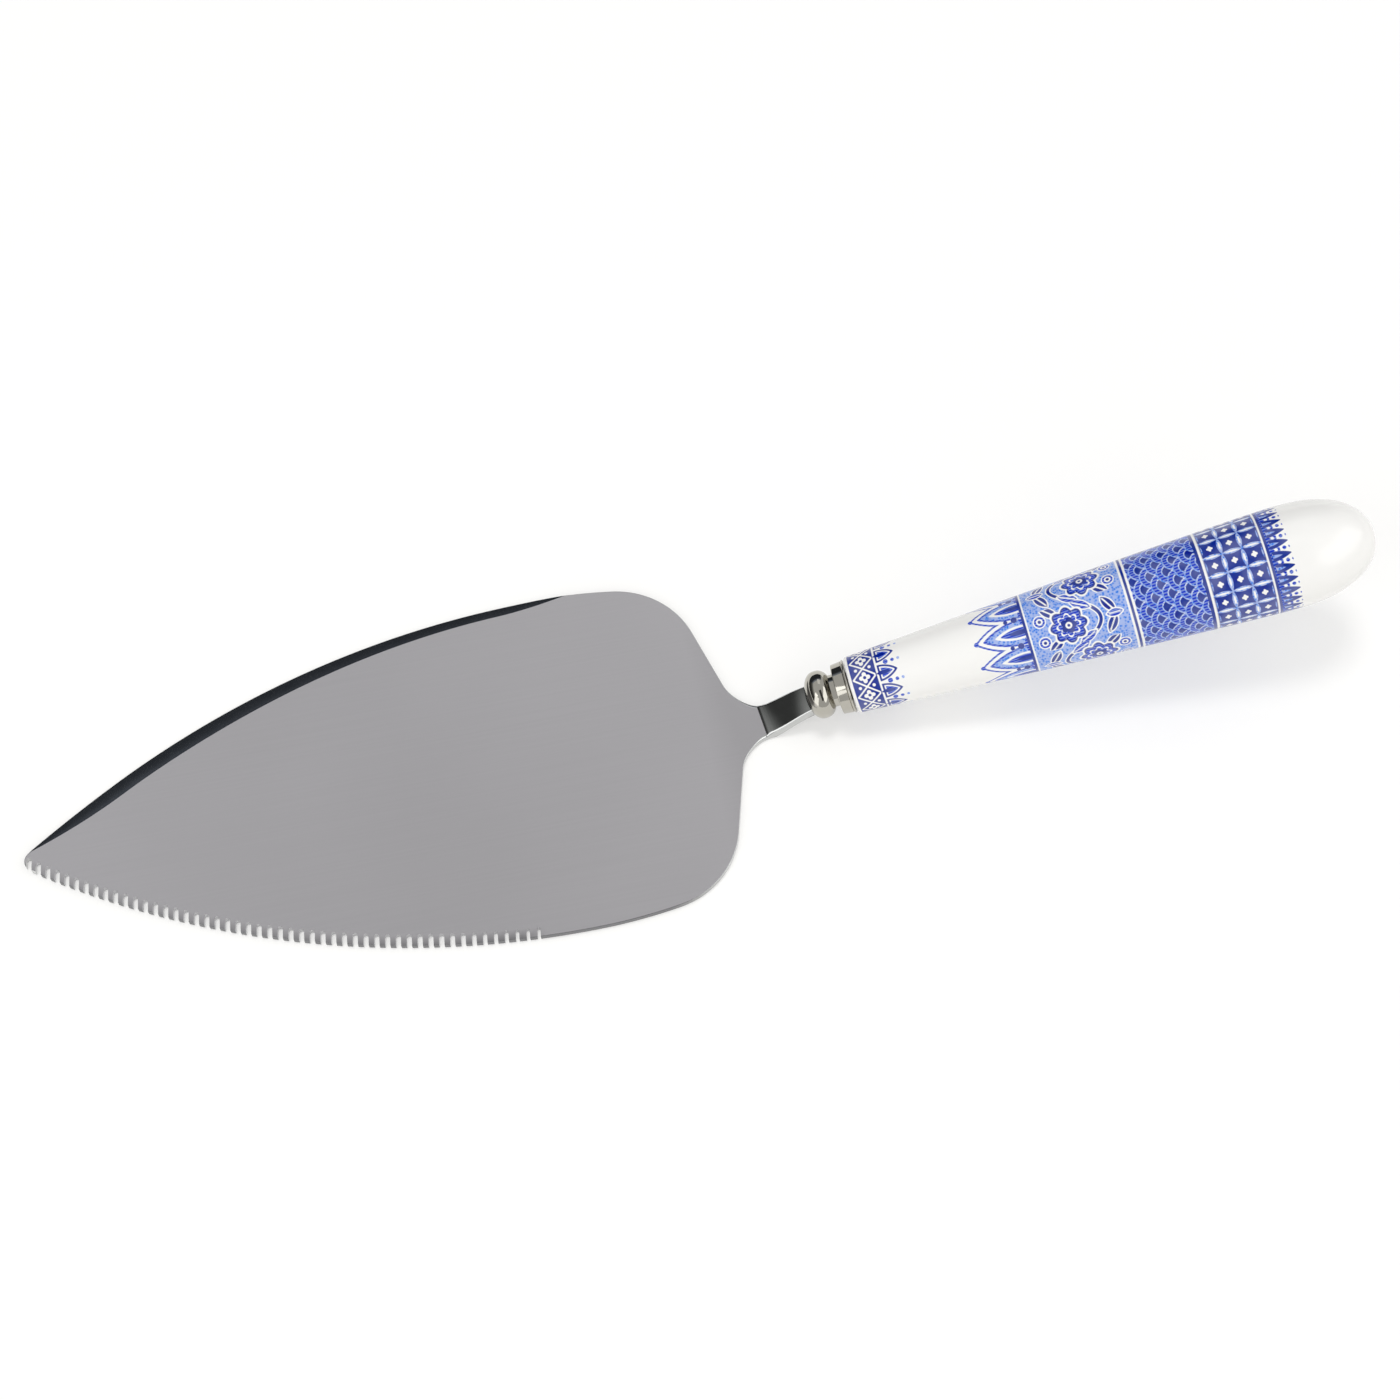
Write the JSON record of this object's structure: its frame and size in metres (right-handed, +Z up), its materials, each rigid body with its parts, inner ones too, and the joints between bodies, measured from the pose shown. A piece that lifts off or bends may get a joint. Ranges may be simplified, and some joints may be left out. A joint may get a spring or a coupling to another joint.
{
  "type": "cake server",
  "caption": "Cake server with a flat spade-shaped steel blade, serrated on one edge and ground on the other, cranked up to a tapered porcelain handle for cutting and lifting slices.",
  "frame": {"origin": "on the plane that the blade rests on, under the middle of the overall length and width", "axes": "+X along the blade from its tip to the handle's butt, +Y across the blade to its plain ground edge, +Z up from the blade's flat underside"},
  "size_m": [0.2498, 0.0678, 0.0384],
  "materials": {
    "satin_blade_steel": "satin",
    "bright_fittings": "polished",
    "printed_porcelain": "gloss",
    "handle_cement": "matte"
  },
  "bodies": {
    "root": {"blade": "satin_blade_steel", "bolster_bead": "bright_fittings", "ferrule_cap": "bright_fittings", "handle": "printed_porcelain", "cement_fill": "handle_cement"}
  },
  "joints": []
}
